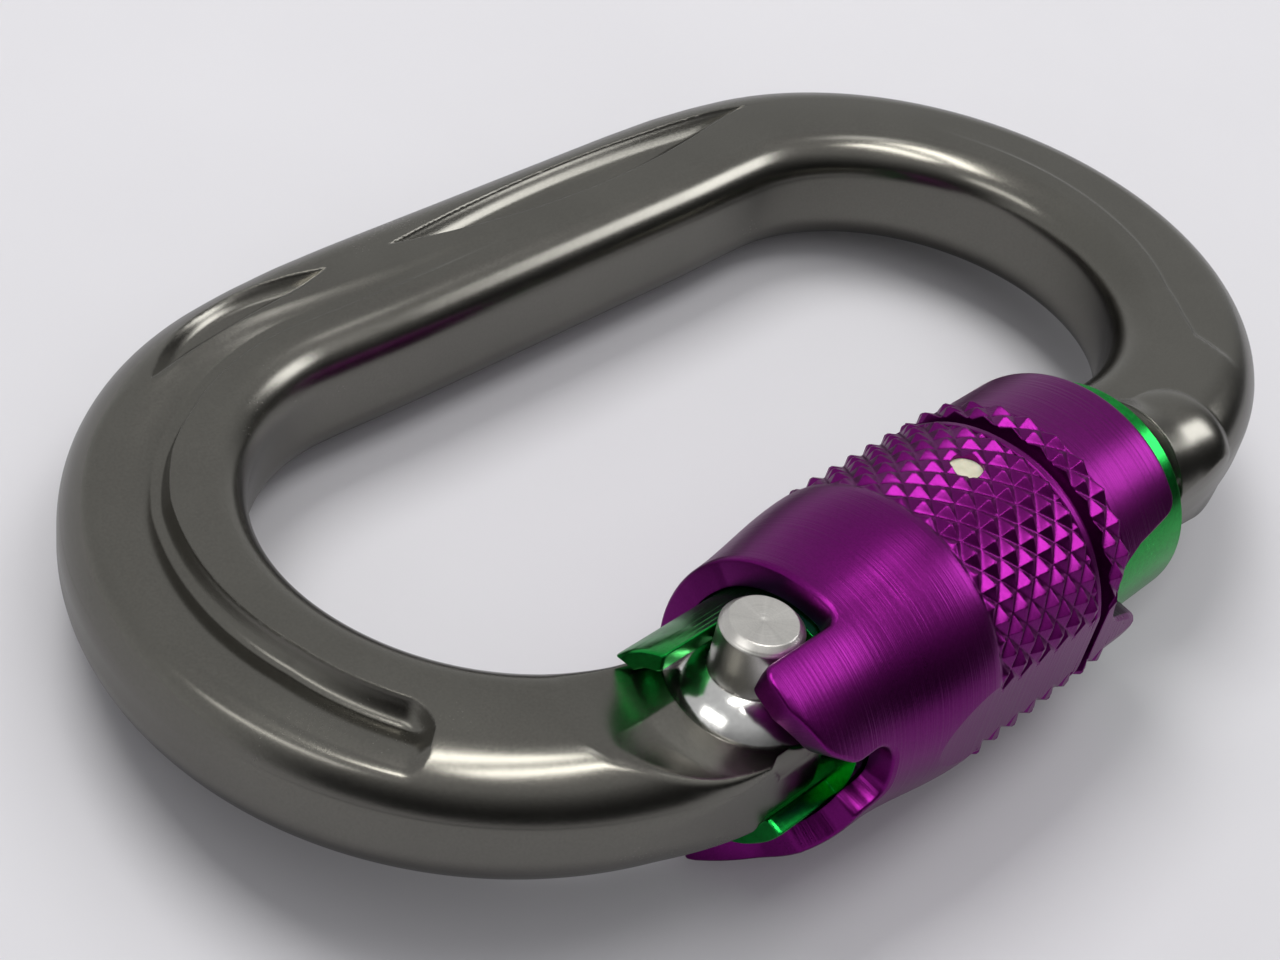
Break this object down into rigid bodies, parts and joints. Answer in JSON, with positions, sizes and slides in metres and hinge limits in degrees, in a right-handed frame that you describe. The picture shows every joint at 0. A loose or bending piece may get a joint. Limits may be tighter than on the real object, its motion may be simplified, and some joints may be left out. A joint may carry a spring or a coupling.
{
  "type": "locking carabiner",
  "caption": "Oval locking carabiner: forged anodised frame with a hinged gate and a knurled lift-and-twist sleeve over an inner lock sleeve.",
  "frame": {"origin": "centre of the oval opening, on the frame's mid-plane", "axes": "+X along the oval towards the nose end, +Y towards the solid spine, +Z square to the oval, out of the face that carries the hinge pin's free head"},
  "size_m": [0.109, 0.0645, 0.0226],
  "materials": {
    "frame_anodised": "satin grey-olive anodised",
    "pin_steel": "turned stainless steel",
    "gate_polished": "polished",
    "lock_green": "bright green anodised",
    "sleeve_violet": "violet anodised, fine turning lines",
    "small_steel": "plain steel",
    "washer_bronze": "plain bearing bronze",
    "ring_steel": "dark spring steel",
    "spring_steel": "drawn wire",
    "plug_cream": "cream plastic"
  },
  "bodies": {
    "frame": {"frame": "frame_anodised", "hinge_pin": "pin_steel"},
    "gate": {"gate": "gate_polished", "hinge_guard": "lock_green", "guard_pins": "small_steel", "thrust_washer": "washer_bronze", "retaining_ring": "ring_steel", "twist_spring": "spring_steel", "gate_spring": "spring_steel"},
    "plunger": {"gate_plunger": "small_steel"},
    "lock_sleeve": {"lock_sleeve": "lock_green", "lift_spring_seat": "small_steel", "lift_spring": "spring_steel"},
    "outer_sleeve": {"outer_sleeve": "sleeve_violet", "key_pin": "small_steel", "key_plug": "plug_cream"}
  },
  "joints": [
    {"name": "gate_swing", "type": "hinge", "parent": "frame", "child": "gate", "pos_m": [-0.0238, -0.02354, 0], "axis": [0, 0, 1], "range_deg": [0, 26]},
    {"name": "plunger_slide", "type": "slide", "parent": "gate", "child": "plunger", "axis": [1, 0, 0], "range_m": [0, 0.00065], "deforming": ["gate_spring"]},
    {"name": "sleeve_twist", "type": "hinge", "parent": "gate", "child": "lock_sleeve", "pos_m": [0, -0.02354, 0], "axis": [1, 0, 0], "range_deg": [0, 60], "deforming": ["twist_spring"]},
    {"name": "sleeve_lift", "type": "slide", "parent": "lock_sleeve", "child": "outer_sleeve", "axis": [1, 0, 0], "range_m": [0, 0.0025], "deforming": ["lift_spring"]}
  ],
  "couplings": [
    {"joint": "plunger_slide", "follows": "gate_swing", "m_per_rad": 0.001322}
  ]
}
